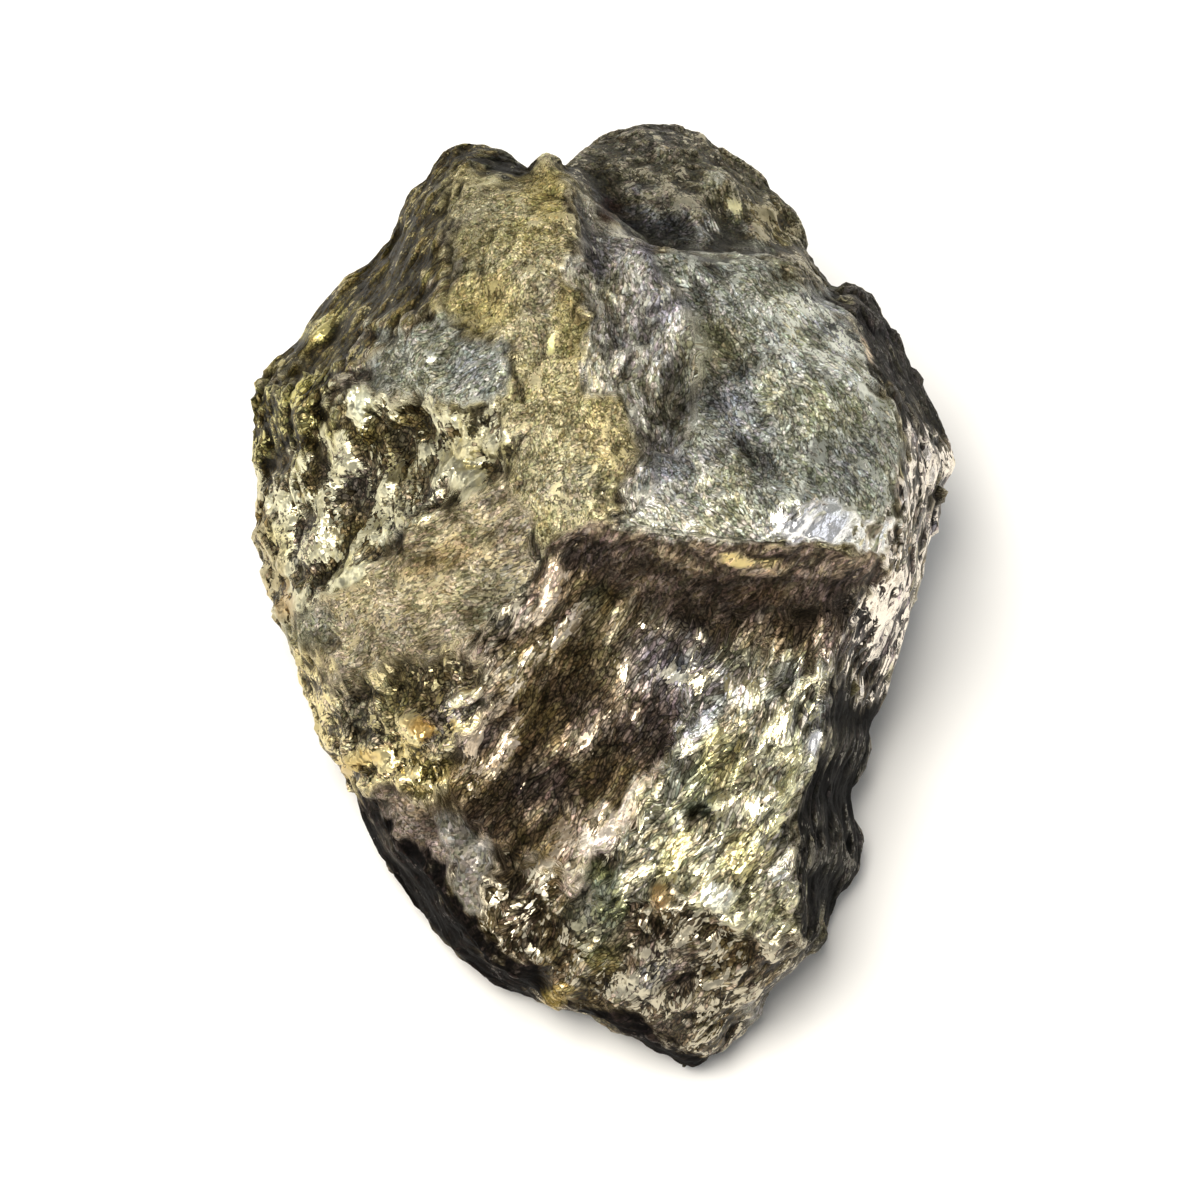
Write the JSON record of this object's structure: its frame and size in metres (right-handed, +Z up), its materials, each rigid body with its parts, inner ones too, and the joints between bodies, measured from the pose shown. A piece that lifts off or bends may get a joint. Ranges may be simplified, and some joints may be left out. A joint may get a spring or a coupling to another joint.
{
  "type": "rough pyrite",
  "caption": "Rough broken lump of massive pyrite with a ledge, a splintery trough and coarse hollows, lying on its flat back; a collector's or display specimen.",
  "frame": {"origin": "middle of the box's base, on the flat that the stone rests on", "axes": "+Z up from the flat, +Y along the stone from its tapered tip to its broad back end, +X to the right seen from the tip"},
  "size_m": [0.0606, 0.079, 0.0461],
  "materials": {
    "pyrite": "rough broken metallic mineral, satin to sparkling, pale brass, olive, grey and brown, with a little grey quartz"
  },
  "bodies": {
    "root": {"pyrite": "pyrite"}
  },
  "joints": []
}
